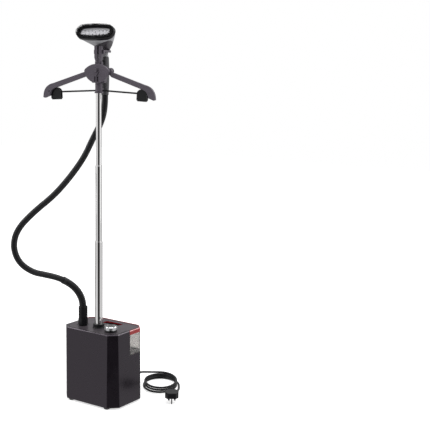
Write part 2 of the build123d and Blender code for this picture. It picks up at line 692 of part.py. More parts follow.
def make_steam_plate():
    length = NOZZLE_LENGTH - 0.6
    depth = NOZZLE_DEPTH - 0.6
    plate = extrude(oval(length, depth, -7), 3)
    plate += oval_ring((length, depth), (length - 6, depth - 6), -11.5, -6.9)
    for index in range(7):
        along = 15.0 * (index - 3)
        high = 1.0 if index == 3 else 4.6
        plate -= extrude(FACE.offset(-8) * (Pos(along, high) * Circle(2.4)), 6)
        plate -= extrude(FACE.offset(-8) * (Pos(along + 5, -7.6) * Circle(2.4)), 6)
    return plate


def make_head_cup():
    low = Pos(0, 3, FORK_Z + FORK_THICK + 0.3) * Ellipse(15, 14)
    outer = loft([low, shell_section(THROAT)])
    bore = loft([Pos(0, 1, FORK_Z + FORK_THICK + 5) * Circle(8), shell_section(THROAT, 3.5, -0.5)])
    neck = disc(10.2, GRIP_TOP, FORK_Z + FORK_THICK + 4)
    return outer + neck - bore - disc(5.5, 1200, FORK_Z + FORK_THICK + 8)


def grip_section(z, rx, ry):
    return Pos(0, 0, z) * Ellipse(rx, ry)


def make_grip_half(front):
    outer = loft([
        grip_section(GRIP_BOTTOM, 12.6, 13.0), grip_section(GRIP_BOTTOM + 60, 14.6, 16.0), grip_section(GRIP_TOP, 13.2, 14.2),
    ])
    inner = loft([
        grip_section(GRIP_BOTTOM + 5, 10.2, 10.6), grip_section(GRIP_BOTTOM + 60, 12.0, 13.2),
        grip_section(GRIP_TOP - 6, 10.6, 11.4),
    ])
    shell = outer - inner - disc(5.5, 1000, 1300)
    split = 5.0
    if front:
        shell &= slab(-30, 30, -40, split, 1000, 1300)
        shell -= trigger_pin(1.5 + SLIDE_CLEARANCE, 15.4)
        return shell - slab(-6.4, 6.4, -20, -6, 1198, 1247)
    return shell & slab(-30, 30, split, 40, 1000, 1300)


def trigger_pin(radius, length):
    return Pos(0, -12, 1239) * Rot(0, 90, 0) * Cylinder(radius, length)


def make_trigger():
    lever = slab(-6, 6, -21, -8.5, 1200, 1243)
    lever = fillet(lever.edges().filter_by(Axis.X), 3)
    return lever + trigger_pin(1.5, 15)


# ---- hose and mains cord ----
def make_connector():
    base = DECK + 13.2
    top = HOSE_START_Z + 12
    profile = disc(16.5, base, top, PORT)
    profile = fillet(profile.faces().sort_by(Axis.Z)[-1].edges(), 0.5)
    for index in range(16):
        angle = math.radians(22.5 * index)
        at = (PORT[0] + 17.2 * math.cos(angle), PORT[1] + 17.2 * math.sin(angle))
        profile -= disc(1.8, base + 13, top - 4, at)
    profile += tube(18, 16.5, DECK + 3, base + 10, PORT)
    profile += disc(8.4, DECK + 2, base, PORT)
    return profile - disc(6, 200, 400, PORT) - disc(14.6, HOSE_START_Z, top + 1, PORT)


def make_sleeve():
    path = route_path(HOSE_ROUTE[:7], "sleeve", HOSE_D)
    sleeve = round_sweep(path, SLEEVE_R) - round_sweep(path, HOSE_D / 2 + 0.3)
    end = SLEEVE_LENGTH / path.length
    beyond = Plane(origin=path @ end, z_dir=path % end) * Pos(0, 0, 75) * Cylinder(60, 150)
    return sleeve - beyond


def make_gland():
    tip = Pos(GLAND_X, 0, GLAND_Z) * Rot(-90, 0, 0)
    gland = tip * Pos(0, 0, 84) * Cylinder(6.2, 16) + tip * Pos(0, 0, 95.1) * Cylinder(8.5, 5)
    return gland + tip * Pos(0, 0, 109.3) * Cone(7, 4.6, 23.4)


def make_coil():
    outer = Ellipse(COIL_LONG + COIL_HALF_WIDTH, COIL_SHORT + COIL_HALF_WIDTH)
    inner = Ellipse(COIL_LONG - COIL_HALF_WIDTH, COIL_SHORT - COIL_HALF_WIDTH)
    ring = extrude(outer - inner, COIL_HEIGHT)
    ring = fillet(ring.edges(), 6)
    return Pos(COIL_CENTRE[0], COIL_CENTRE[1], 0) * Rot(0, 0, COIL_TURN) * ring


PLUG = Pos(PLUG_CENTRE[0], PLUG_CENTRE[1], 0) * Rot(0, 0, PLUG_YAW)


def make_plug_body():
    # the cord enters at local +Y, and the pins point down
    outline = make_face(Polyline(
        (-14, 27), (14, 27), (25, 14), (25, -12), (16, -25), (-16, -25), (-25, -12), (-25, 14), close=True))
    body = extrude(Pos(0, 0, PIN_LENGTH) * fillet(outline.vertices(), 5), 21)
    return PLUG * fillet(body.faces().sort_by(Axis.Z)[-1].edges(), 4)


def make_plug_pins():
    spots = [(-11.1, 9, 6.4, 4, 5.0), (11.1, 9, 6.4, 4, 5.0), (0, -13.2, 4, 8, 0.0)]
    pins = [PLUG * slab(x - w / 2, x + w / 2, y - d / 2, y + d / 2, low, PIN_LENGTH) for x, y, w, d, low in spots]
    return pins


def build():
    add("housing", make_housing())
    add("base_plate", make_base_plate())
    add("feet", *[make_foot(x, y) for x, y in FOOT_SPOTS])
    add("base_screws", *[make_screw(x, y) for x, y in SCREW_SPOTS])
    add("top_cover", make_top_cover())
    add("port_collar", make_port_collar())
    add("steam_outlet", make_outlet())
    add("pole_socket", make_pole_socket())
    add("tank_shelf", make_shelf())
    add("boiler", make_boiler())
    add("water_pump", make_pump())
    add("water_pipes", *make_water_pipes())
    add("steam_pipe", make_steam_pipe())
    add("selector_switch", make_switch())
    add("control_board", make_board())
    add("knob", make_knob())
    add("knob_dial", make_knob_dial())
    add("tank_shell", make_tank_shell())
    add("tank_band", make_tank_band())
    add("tank_lid", make_tank_lid())
    add("slot_liner", make_slot_liner())
    add("tank_valve", make_tank_valve())
    add("valve_spring", make_valve_spring())
    add("pole_lower", make_lower_tube())
    add("lower_bush", make_bush(LOWER_TUBE_D, MIDDLE_TUBE_D, LOWER_TUBE_TOP))
    add("pole_middle", make_middle_tube())
    add("middle_bush", make_bush(MIDDLE_TUBE_D, UPPER_TUBE_D, MIDDLE_TUBE_TOP))
    add("pole_upper", make_upper_tube())
    add("hanger_neck", HANGER * make_neck())
    add("hub_front", HANGER * make_hub_front())
    add("hub_back", HANGER * make_hub_back())
    add("arm_pivots", *[HANGER * make_pivot(side) for side in (-1, 1)])
    add("garment_peg", HANGER * make_garment_peg())
    add("clip_bar", HANGER * make_clip_bar())
    add("head_cradle", HANGER * make_cradle())
    add("left_arm", HANGER * make_arm(-1))
    add("right_arm", HANGER * make_arm(1))
    for side in ("left", "right"):
        add(side + "_clip_front", HANGER * make_clip_front(side))
        add(side + "_clip_jaw", HANGER * make_clip_jaw(side))
        add(side + "_clip_spring", HANGER * make_clip_spring(side))
    add("head_shell", HEAD * make_head_shell())
    add("brush_ring", HEAD * make_brush_ring())
    add("bristles", HEAD * make_bristles())
    add("steam_plate", HEAD * make_steam_plate())
    add("head_cup", HEAD * make_head_cup())
    add("grip_front", HEAD * make_grip_half(True))
    add("grip_back", HEAD * make_grip_half(False))
    add("steam_trigger", HEAD * make_trigger())
    add("hose_connector", make_connector())
    add("hose_sleeve", make_sleeve())
    add("hose", cord_tube(HOSE_ROUTE, HOSE_D, "hose"))
    add("hose_top", cord_tube(HOSE_TOP_ROUTE, HOSE_D, "hose_top"))
    add("cord_gland", make_gland())
    add("power_cord", *[cord_tube(*cord) - make_coil() for cord in CORDS])
    add("cord_coil", make_coil())
    add("plug_body", make_plug_body())
    add("plug_pins", *make_plug_pins())


build()
os.makedirs("parts", exist_ok=True)
for name, solid in NODES.items():
    export_step(solid, os.path.join("parts", name + ".step"))
print(len(NODES), "nodes")
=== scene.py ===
import math
import random

import bpy
from mathutils import Matrix, Vector


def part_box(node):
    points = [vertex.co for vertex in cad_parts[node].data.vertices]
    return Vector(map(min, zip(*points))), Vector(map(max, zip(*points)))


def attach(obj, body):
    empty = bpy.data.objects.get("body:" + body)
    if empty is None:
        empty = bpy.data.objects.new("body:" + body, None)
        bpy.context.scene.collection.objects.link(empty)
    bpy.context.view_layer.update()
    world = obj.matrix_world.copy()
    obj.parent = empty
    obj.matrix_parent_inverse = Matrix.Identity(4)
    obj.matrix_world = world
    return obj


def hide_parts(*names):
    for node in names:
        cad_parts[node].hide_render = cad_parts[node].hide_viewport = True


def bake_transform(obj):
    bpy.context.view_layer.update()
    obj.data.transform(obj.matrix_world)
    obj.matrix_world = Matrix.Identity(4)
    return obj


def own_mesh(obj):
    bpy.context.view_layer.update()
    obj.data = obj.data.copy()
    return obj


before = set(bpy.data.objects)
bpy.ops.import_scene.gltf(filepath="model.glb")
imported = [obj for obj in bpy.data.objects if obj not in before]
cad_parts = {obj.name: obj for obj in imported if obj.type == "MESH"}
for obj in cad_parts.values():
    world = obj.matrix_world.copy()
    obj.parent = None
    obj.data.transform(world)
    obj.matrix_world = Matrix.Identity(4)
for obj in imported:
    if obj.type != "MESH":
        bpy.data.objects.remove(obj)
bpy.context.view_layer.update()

MM = 0.001

# ---- dimensions shared with the CAD model, in millimetres and degrees ----
POLE = (3.0, -27.0)
KNOB = (74.0, -44.0)
HANGER_YAW = 16.5
HEAD_YAW = -10.5
GRIP_Y = 55.0                       # the handle stands this far behind the pole
FACE_CENTRE = (-63.0, 1345.5)       # Y and Z of the middle of the steam head's face
FACE_TILT = 62.0
HOSE_D = 22.0
SLEEVE_LENGTH = 150.0
CORD_D = 8.0
# the hose's routes are the CAD model's
HOSE_ROUTE = [
    (-67, -34, 337), (-67, -34, 357), (-71.5, -40, 388), (-82.5, -55.5, 418.5), (-97.5, -81.5, 444.5),
    (-114.5, -117.5, 465.5), (-132.5, -161.5, 481), (-148.5, -212, 497), (-177, -250, 535),
    (-193, -261, 593), (-186, -245, 653), (-152, -195, 713), (-113, -136, 767), (-82, -84, 832),
    (-58, -36, 901), (-50.5, -21, 934.5),
]
HOSE_TOP_ROUTE = [
    (-50.5, -21, 934.5), (-43, -6, 968), (-22, 18, 1028), (-12.6, 25.7, 1081), (-12.6, 25.7, 1125),
]
# the mains cord's routes are too, but for the points beside the coil, which meet its turns
LEAD_ROUTE = [
    (22, 121, 56), (22, 150, 56), (20, 184, 53.5), (16, 216, 47), (16, 246, 39), (23, 273, 33),
]
TAIL_ROUTE = [
    (163, 261, 4.4), (180, 236, 4.4), (191, 206, 7), (198.5, 176, 20), (209, 151.5, 33), (220.51, 135.12, 33),
]
# the coil of the mains cord, a plain ring in the CAD model
COIL_CENTRE = (94.5, 232.0)
COIL_TURN = -50.5           # direction of the coil's long axis
COIL_LONG = 89.0            # half of the coil's length and of its width, to the middle of the cord
COIL_SHORT = 63.0
COIL_START = 188.0          # where the lead joins the coil, and where the tail leaves it, from its long axis
COIL_END = 98.0
COIL_TURNS = 3
COIL_STEP = 18.0            # from one point of the coil to the next
COIL_PITCH = 8.15           # each turn lies on the one below
COIL_REST = 4.4             # height of the lowest turn's middle
# how far round the coil, and how far outside its mean line the cord is there
COIL_SPREAD = [
    (0, 0.0), (140, -1.0), (235, -4.0), (330, -1.5), (480, 0.5), (590, -1.0), (720, -1.5), (830, -1.0),
    (900, 1.0), (960, 3.0), (1050, 1.5), (1120, 4.5), (1170, 10.0),
]


def metres(points):
    return [tuple(c * MM for c in p) for p in points]


# ---- camera ----
CAMERA_AT = (2.1595, -2.5483, 1.2047)
CAMERA_YAW = math.radians(-33.288)
CAMERA_PITCH = math.radians(-8.643)
CAMERA_ROLL = math.radians(1.082)
SENSOR_WIDTH = 36.0
FOCAL_LENGTH = 77.34


def make_camera():
    data = bpy.data.cameras.new("camera")
    data.sensor_width = SENSOR_WIDTH
    data.lens = FOCAL_LENGTH
    camera = bpy.data.objects.new("camera", data)
    bpy.context.scene.collection.objects.link(camera)
    flat = math.cos(CAMERA_PITCH)
    forward = Vector((math.sin(CAMERA_YAW) * flat, math.cos(CAMERA_YAW) * flat, math.sin(CAMERA_PITCH)))
    level = Vector((math.cos(CAMERA_YAW), -math.sin(CAMERA_YAW), 0))
    right = math.cos(CAMERA_ROLL) * level + math.sin(CAMERA_ROLL) * level.cross(forward)
    up = right.cross(forward)
    camera.matrix_world = Matrix((
        (right.x, up.x, -forward.x, CAMERA_AT[0]), (right.y, up.y, -forward.y, CAMERA_AT[1]),
        (right.z, up.z, -forward.z, CAMERA_AT[2]), (0, 0, 0, 1),
    ))
    bpy.context.scene.camera = camera


make_camera()


# ---- mesh and curve helpers ----
def link(data, name):
    piece = bpy.data.objects.new(name, data)
    bpy.context.scene.collection.objects.link(piece)
    return piece


def route_points(points, resolution=16):
    """Points along the smooth NURBS spline that a route's points control."""
    curve = bpy.data.curves.new("guide", "CURVE")
    curve.dimensions = "3D"
    curve.resolution_u = resolution
    spline = curve.splines.new("NURBS")
    spline.points.add(len(points) - 1)
    for knot, point in zip(spline.points, points):
        knot.co = (*point, 1)
    spline.order_u = 3
    spline.use_endpoint_u = True
    guide = link(curve, "guide")
    bpy.context.view_layer.update()
    mesh = bpy.data.meshes.new_from_object(guide)
    path = [v.co.copy() for v in mesh.vertices]
    bpy.data.meshes.remove(mesh)
    bpy.data.objects.remove(guide)
    return path


def path_length(path):
    return sum((b - a).length for a, b in zip(path, path[1:]))


def make_mesh(name, verts, faces, smooth=True):
    mesh = bpy.data.meshes.new(name)
    mesh.from_pydata([tuple(v) for v in verts], [], faces)
    mesh.validate()
    mesh.update()
    for polygon in mesh.polygons:
        polygon.use_smooth = smooth
    return link(mesh, name)


def walk(path, spacing, length=None):
    """Points and tangents at even steps along a path, and the step."""
    total = path_length(path) if length is None else length
    count = max(2, int(round(total / spacing)))
    step = total / count
    places, tangents = [], []
    index, done = 0, 0.0
    for k in range(count + 1):
        wanted = k * step
        while index < len(path) - 2 and done + (path[index + 1] - path[index]).length < wanted:
            done += (path[index + 1] - path[index]).length
            index += 1
        run = path[index + 1] - path[index]
        share = min(1.0, (wanted - done) / max(run.length, 1e-9))
        places.append(path[index] + run * share)
        tangents.append(run.normalized())
    smooth = []
    for k in range(count + 1):
        around = tangents[max(0, k - 1):k + 2]
        smooth.append(sum(around, Vector()).normalized())
    return places, smooth, step


def sweep_tube(name, places, tangents, step, radius, sides=24):
    """A closed tube whose radius depends on the distance along it and the angle round it."""
    side = tangents[0].orthogonal().normalized()
    verts = []
    for k, (place, tangent) in enumerate(zip(places, tangents)):
        side = (side - tangent * side.dot(tangent)).normalized()
        other = tangent.cross(side)
        for j in range(sides):
            angle = 2 * math.pi * j / sides
            r = radius(k * step, angle)
            verts.append(place + side * (r * math.cos(angle)) + other * (r * math.sin(angle)))
    faces = []
    for k in range(len(places) - 1):
        for j in range(sides):
            a, b = k * sides + j, k * sides + (j + 1) % sides
            faces.append((a, b, b + sides, a + sides))
    last = (len(places) - 1) * sides
    faces.append(tuple(reversed(range(sides))))
    faces.append(tuple(range(last, last + sides)))
    return make_mesh(name, verts, faces)


# ---- cords first: the hose in two pieces, its bend protector, and the mains cord ----
HOSE_RIB = 4.2 * MM             # the hose's spiral rib: pitch and height
HOSE_RIB_DEPTH = 0.22 * MM
RIB_STEPS = 5                   # rings of the mesh in one pitch
SLEEVE_RIB = 6.6 * MM           # the bend protector's ribs, and the plain cuff at its end
SLEEVE_RIB_STEPS = 11
SLEEVE_CUFF = 13.0 * MM
SLEEVE_CUFF_R = 13.4
SLEEVE_CHAMFER = 1.4 * MM
SLEEVE_CHAMFER_DEPTH = 1.2
SLEEVE_GROOVE_R = 11.7
SLEEVE_RIB_HEIGHT = 1.7
SLEEVE_RIB_FLATNESS = 0.4
CORD_STEP = 3.0 * MM
HOSE_SIDES = 28                 # facets round each tube
SLEEVE_SIDES = 36
CORD_SIDES = 20
hose_path = route_points(metres(HOSE_ROUTE))
hose_top_path = route_points(metres(HOSE_TOP_ROUTE))
hose_length = path_length(hose_path)


def make_hose(name, path, start):
    """A spirally ribbed hose: start is the distance along the whole hose, so that the ribs run on."""
    def radius(s, angle):
        wave = math.sin(2 * math.pi * (start + s) / HOSE_RIB - angle)
        return HOSE_D / 2 * MM + HOSE_RIB_DEPTH * wave

    return sweep_tube(name, *walk(path, HOSE_RIB / RIB_STEPS), radius, HOSE_SIDES)


def sleeve_radius(s, angle):
    left = SLEEVE_LENGTH * MM - s
    if left < SLEEVE_CUFF:
        chamfer = max(0.0, 1 - left / SLEEVE_CHAMFER) ** 2
        return (SLEEVE_CUFF_R - SLEEVE_CHAMFER_DEPTH * chamfer) * MM
    wave = 0.5 + 0.5 * math.cos(2 * math.pi * s / SLEEVE_RIB)
    return (SLEEVE_GROOVE_R + SLEEVE_RIB_HEIGHT * wave ** SLEEVE_RIB_FLATNESS) * MM


hose = make_hose("hose_cover", hose_path, 0.0)
hose_top = make_hose("hose_cover_top", hose_top_path, hose_length)
sleeve_walk = walk(hose_path, SLEEVE_RIB / SLEEVE_RIB_STEPS, SLEEVE_LENGTH * MM)
sleeve = sweep_tube("hose_boot", *sleeve_walk, sleeve_radius, SLEEVE_SIDES)


def coil_spread(turned):
    for (a0, r0), (a1, r1) in zip(COIL_SPREAD, COIL_SPREAD[1:]):
        if turned <= a1 + 1e-6:
            share = (turned - a0) / (a1 - a0)
            return r0 + (r1 - r0) * share * share * (3 - 2 * share)


def coil_points():
    """The coil's turns: oval, each on the one below, from the lead down to the tail on the floor."""
    total = COIL_START - COIL_END + 360 * COIL_TURNS
    count = int(round(total / COIL_STEP))
    axis = math.radians(COIL_TURN)
    points = []
    for k in range(count + 1):
        turned = total * k / count
        spread = coil_spread(turned)
        height = COIL_REST + COIL_PITCH * max(0.0, 360 * COIL_TURNS - turned) / 360
        angle = math.radians(COIL_START - turned)
        along = (COIL_LONG + spread) * math.cos(angle)
        across = (COIL_SHORT + spread) * math.sin(angle)
        points.append((
            COIL_CENTRE[0] + along * math.cos(axis) - across * math.sin(axis),
            COIL_CENTRE[1] + along * math.sin(axis) + across * math.cos(axis), height,
        ))
    return points


cord_path = route_points(metres(LEAD_ROUTE + coil_points() + TAIL_ROUTE))
cord = sweep_tube("mains_cord", *walk(cord_path, CORD_STEP), lambda s, angle: CORD_D / 2 * MM, CORD_SIDES)
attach(cord, "base")
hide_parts("power_cord", "cord_coil")

for piece, node in ((hose, "hose"), (sleeve, "hose_sleeve")):
    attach(piece, "base")
    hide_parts(node)
    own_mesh(piece)
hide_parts("hose_top")
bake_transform(hose_top)


# ---- materials ----
PATCH_SCALE = 14.0                          # noise of the soft patches
PATCH_DETAIL = 4
GRAIN_DETAIL = 3                            # noise of the fine grain, whose scale each material sets
NOISE_ROUGHNESS = 0.6
GRAIN_SHARE = 0.35                          # the fine grain's share beside the patches
COLOUR_STOPS = (0.35, 0.95)                 # mixed noise at which the darkest and lightest colours stand
ROUGH_STOPS = (0.3, 0.9)
COAT_ROUGHNESS = 0.08
LEAST_ROUGHNESS = 0.02
# half width of the change from a moulding's own colour to its painted shade
SHADE_EDGE = 0.0003                         # half width of the change between two colours, in metres


def surface(name, color, rough, metallic=0.0, spread=0.12, grain=1500.0, bump=0.12, depth=0.05,
            rough_spread=0.08, stretch=(1, 1, 1), coat=0.0, specular=0.5, transmission=0.0, anisotropic=0.0,
            tint=(1.0, 1.0, 1.0)):
    """Moulded, cast or drawn surface: soft patches in the colour, fine grain in the bump and the roughness.

    spread and rough_spread are how far colour and roughness vary. grain is the noise scale of the fine
    texture, which stretch draws out, and bump and depth (mm) are its strength and height.
    """
    material = bpy.data.materials.new(name)
    material.use_nodes = True
    nodes, links = material.node_tree.nodes, material.node_tree.links
    shader = nodes["Principled BSDF"]
    for socket, value in (
        ("Metallic", metallic), ("Coat Weight", coat), ("Coat Roughness", COAT_ROUGHNESS),
        ("Specular IOR Level", specular), ("Specular Tint", (*tint, 1)), ("Anisotropic", anisotropic),
        ("Transmission Weight", transmission),
    ):
        shader.inputs[socket].default_value = value
    where = nodes.new("ShaderNodeTexCoord")
    mapping = nodes.new("ShaderNodeMapping")
    mapping.inputs["Scale"].default_value = stretch
    links.new(where.outputs["Object"], mapping.inputs["Vector"])

    def noise(scale, detail, vector):
        node = nodes.new("ShaderNodeTexNoise")
        node.inputs["Scale"].default_value = scale
        node.inputs["Detail"].default_value = detail
        node.inputs["Roughness"].default_value = NOISE_ROUGHNESS
        links.new(vector, node.inputs["Vector"])
        return node

    patches = noise(PATCH_SCALE, PATCH_DETAIL, where.outputs["Object"])
    fine = noise(grain, GRAIN_DETAIL, mapping.outputs["Vector"])
    blend = nodes.new("ShaderNodeMath")
    blend.operation = "MULTIPLY_ADD"
    blend.inputs[1].default_value = GRAIN_SHARE
    links.new(fine.outputs["Fac"], blend.inputs[0])
    links.new(patches.outputs["Fac"], blend.inputs[2])
    ramp = nodes.new("ShaderNodeValToRGB")
    low = [c * (1 - spread) for c in color]
    high = [min(1.0, c * (1 + spread)) for c in color]
    for element, place, shade in zip(ramp.color_ramp.elements, COLOUR_STOPS, (low, high)):
        element.position = place
        element.color = (*shade, 1)
    links.new(blend.outputs[0], ramp.inputs["Fac"])
    links.new(ramp.outputs["Color"], shader.inputs["Base Color"])
    spread_rough = nodes.new("ShaderNodeMapRange")
    for socket, value in (
        ("From Min", ROUGH_STOPS[0]), ("From Max", ROUGH_STOPS[1]),
        ("To Min", max(LEAST_ROUGHNESS, rough - rough_spread)), ("To Max", rough + rough_spread),
    ):
        spread_rough.inputs[socket].default_value = value
    links.new(blend.outputs[0], spread_rough.inputs["Value"])
    links.new(spread_rough.outputs["Result"], shader.inputs["Roughness"])
    relief = nodes.new("ShaderNodeBump")
    relief.inputs["Strength"].default_value = bump
    relief.inputs["Distance"].default_value = depth * MM
    links.new(fine.outputs["Fac"], relief.inputs["Height"])
    links.new(relief.outputs["Normal"], shader.inputs["Normal"])
    return material


def paint_shade_below(material, dark, direction, level):
    """Paints shade into a moulding's colour below a slanted plane, whose direction and level are in metres.
    """
    nodes, links = material.node_tree.nodes, material.node_tree.links
    colour = nodes["Principled BSDF"].inputs["Base Color"]
    light = colour.links[0].from_socket
    where = nodes.new("ShaderNodeTexCoord")
    height = nodes.new("ShaderNodeVectorMath")
    height.operation = "DOT_PRODUCT"
    height.inputs[1].default_value = direction
    links.new(where.outputs["Object"], height.inputs[0])
    step = nodes.new("ShaderNodeMapRange")
    step.inputs["From Min"].default_value = level - SHADE_EDGE
    step.inputs["From Max"].default_value = level + SHADE_EDGE
    links.new(height.outputs["Value"], step.inputs["Value"])
    mix = nodes.new("ShaderNodeMix")
    mix.data_type = "RGBA"
    links.new(step.outputs["Result"], mix.inputs["Factor"])
    mix.inputs["A"].default_value = (*dark, 1)
    links.new(light, mix.inputs["B"])
    links.new(mix.outputs["Result"], colour)


PLUM = (0.98, 0.85, 1.0)            # the dark mouldings reflect a little purple
# the head shell is pale grey all over; its darker lower part is painted shade, for the shade under its ring
HEAD_PALE = (0.46, 0.46, 0.48)
HEAD_PAINTED_SHADE = (0.075, 0.066, 0.078)
HEAD_SHADE_PLANE = (-0.24, 0.0, 1.0)      # the head is pale above this slanted plane and dark below it
HEAD_SHADE_LEVEL = 1.3037
MATERIALS = {
    "charcoal": surface("charcoal_plastic", (0.0125, 0.0095, 0.0135), 0.24, grain=1700, bump=0.3, depth=0.1,
                        tint=PLUM),
    # the top cover and tank lid are the housing's dark plastic painted lighter: a painted highlight for the
    # light falling on them from overhead
    "top": surface("top_plastic_painted_highlight", (0.058, 0.050, 0.058), 0.32, grain=1700, bump=0.3, depth=0.1, tint=PLUM),
    "black": surface("black_plastic", (0.012, 0.012, 0.014), 0.27, grain=2200, bump=0.2, depth=0.08,
                     specular=0.3),
    "gloss_black": surface("gloss_black_plastic", (0.012, 0.012, 0.014), 0.14, grain=900, bump=0.04,
                           coat=0.6),
    "hanger": surface("hanger_plastic", (0.112, 0.101, 0.120), 0.36, grain=1500, bump=0.3, depth=0.1,
                      tint=PLUM),
    "red": surface("red_plastic", (0.40, 0.012, 0.016), 0.22, grain=900, bump=0.06, coat=0.35, spread=0.08),
    "grey": surface("head_plastic", HEAD_PALE, 0.36, grain=1800, bump=0.22, depth=0.08, spread=0.05),
    "grip": surface("grip_plastic", (0.075, 0.074, 0.08), 0.4, grain=1300, bump=0.4, depth=0.12),
    "steel": surface("polished_steel", (0.80, 0.79, 0.79), 0.06, metallic=1.0, grain=260, stretch=(1, 1, 14),
                     bump=0.05, depth=0.02, rough_spread=0.05, spread=0.05, anisotropic=0.4),
    "chrome": surface("chrome_plate", (0.68, 0.68, 0.70), 0.10, metallic=1.0, grain=700, bump=0.02,
                      depth=0.02, rough_spread=0.03, spread=0.03),
    "brass": surface("machined_brass", (0.80, 0.58, 0.24), 0.2, metallic=1.0, grain=420, stretch=(1, 1, 9),
                     bump=0.12, depth=0.03, spread=0.1),
    "alloy": surface("anodised_alloy", (0.88, 0.88, 0.90), 0.27, metallic=1.0, grain=500, stretch=(0.4, 4, 4),
                     bump=0.1, depth=0.03, spread=0.06),
    "plate": surface("steam_plate_enamel", (0.64, 0.64, 0.67), 0.38, grain=900, bump=0.08, spread=0.05),
    "head": surface("head_shell_plastic", HEAD_PALE, 0.36, grain=1800, bump=0.22, depth=0.08, spread=0.05),
    "rubber": surface("foot_rubber", (0.02, 0.02, 0.02), 0.68, grain=900, bump=0.3, depth=0.1),
    "hose": surface("hose_cover", (0.010, 0.010, 0.012), 0.32, grain=2600, bump=0.35, depth=0.1,
                    specular=0.32),
    "cord": surface("cord_sheath", (0.010, 0.010, 0.012), 0.33, grain=1900, bump=0.15, depth=0.06,
                    specular=0.32),
    "bristle": surface("bristle_nylon", (0.03, 0.03, 0.034), 0.45, grain=2500, bump=0.1),
    "pump": surface("pump_plastic", (0.55, 0.55, 0.52), 0.45, grain=900, bump=0.15),
    "board": surface("circuit_board", (0.03, 0.17, 0.06), 0.35, grain=600, bump=0.1, coat=0.2),
    "clear": surface("smoke_clear_plastic", (0.60, 0.585, 0.57), 0.12, grain=1100, bump=0.04, depth=0.03,
                     spread=0.05, rough_spread=0.05, transmission=0.9),
    "white": surface("print_white", (0.62, 0.62, 0.62), 0.5, grain=1500, bump=0.02, spread=0.02),
}
# painted shade: the head shell's colour is darkened below the slanted plane
paint_shade_below(MATERIALS["head"], HEAD_PAINTED_SHADE, HEAD_SHADE_PLANE, HEAD_SHADE_LEVEL)
LOOK = {
    "charcoal": ["housing", "base_plate", "tank_shelf", "slot_liner"],
    "top": ["top_cover", "tank_lid"],
    "black": ["port_collar", "pole_socket", "lower_bush", "middle_bush", "selector_switch", "hose_connector",
              "steam_trigger", "tank_valve", "brush_ring", "left_clip_front", "left_clip_jaw",
              "right_clip_front", "right_clip_jaw", "cord_gland", "clip_bar"],
    "gloss_black": ["knob_dial"],
    "hanger": ["hanger_neck", "hub_front", "hub_back", "garment_peg", "head_cradle", "left_arm", "right_arm"],
    "red": ["tank_band"],
    "clear": ["tank_shell"],
    "grip": ["grip_front", "grip_back"],
    "chrome": ["knob"],
    "brass": ["steam_outlet"],
    "steel": ["pole_lower", "pole_middle", "pole_upper", "arm_pivots", "base_screws", "left_clip_spring",
              "right_clip_spring", "valve_spring", "steam_pipe", "plug_pins"],
    "alloy": ["boiler"],
    "plate": ["steam_plate"],
    "head": ["head_shell", "head_cup"],
    "rubber": ["feet", "water_pipes"],
    "cord": ["plug_body"],
    "pump": ["water_pump"],
    "board": ["control_board"],
}


def paint(piece, key):
    piece.data.materials.clear()
    piece.data.materials.append(MATERIALS[key])


for key, names in LOOK.items():
    for node_name in names:
        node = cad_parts[node_name]
        if not node.material_slots:
            node.data.materials.append(MATERIALS[key])
        for material_slot in node.material_slots:
            material_slot.material = MATERIALS[key]
paint(hose, "hose")
paint(hose_top, "hose")
paint(sleeve, "black")
paint(cord, "cord")


# ---- places on the steam head ----
def turn(degrees):
    return Matrix.Rotation(math.radians(degrees), 4, "Z")


HANGER = Matrix.Translation((POLE[0] * MM, POLE[1] * MM, 0)) @ turn(HANGER_YAW)
HEAD = HANGER @ Matrix.Translation((0, GRIP_Y * MM, 0)) @ turn(HEAD_YAW)
tilt = math.radians(FACE_TILT)
FACE = HEAD @ Matrix((
    (1, 0, 0, 0), (0, math.cos(tilt), -math.sin(tilt), FACE_CENTRE[0] * MM),
    (0, math.sin(tilt), math.cos(tilt), FACE_CENTRE[1] * MM), (0, 0, 0, 1),
))

# ---- bristles of the fabric brush, in millimetres on the face ----
FACE_LENGTH = 156.0
FACE_DEPTH = 58.0
FACE_FLAT = 3.0                     # how much the long sides of the oval bulge
BRISTLE_ROWS = [3.6, 6.4, 9.2]      # distance of each row from the ring's edge
ROW_LENGTH = 380
BRISTLE_LENGTH = 10.8
BRISTLE_SPACING = 3.1               # from tuft to tuft along a row
TUFT_SHIFT = 0.08                   # how unevenly the tufts stand, as a share of the spacing
TUFT_BLADES = 7
TUFT_R = 0.75
SPLAY_OUT = 1.0                     # outward lean of the outer row's tips
SPLAY_CHANGE = 1.6                  # how much less the inner row leans out
BLADE_LEAN = 0.5
BLADE_SHORTER, BLADE_LONGER = -0.8, 0.2
BLADE_ROOT = -0.6
BLADE_BEND = (0.6, 0.35)            # share of the height at which a blade has this share of its lean
BLADE_R = (0.34, 0.3, 0.16)         # at the root, the bend and the tip


def oval_spot(inset, share):
    """A point of the head's oval outline, moved in by the inset, and the outward direction there."""
    end_r = FACE_DEPTH / 2 - FACE_FLAT
    reach = FACE_LENGTH / 2 - end_r
    back = (reach ** 2 - FACE_FLAT ** 2) / (2 * FACE_FLAT)
    half = math.atan2(reach, back)
    long_r = back + FACE_DEPTH / 2
    arcs = [
        ((0, -back), long_r, math.pi / 2 - half, 2 * half),
        ((-reach, 0), end_r, math.pi / 2 + half, math.pi - 2 * half),
        ((0, back), long_r, 3 * math.pi / 2 - half, 2 * half),
        ((reach, 0), end_r, -math.pi / 2 + half, math.pi - 2 * half),
    ]
    sizes = [(r - inset) * sweep for _, r, _, sweep in arcs]
    along = (share % 1.0) * sum(sizes)
    for (centre, r, start, sweep), size in zip(arcs, sizes):
        if along <= size:
            angle = start + sweep * along / size
            x, y = centre[0] + (r - inset) * math.cos(angle), centre[1] + (r - inset) * math.sin(angle)
            return x, y, math.cos(angle), math.sin(angle)
        along -= size
    return oval_spot(inset, 0.0)


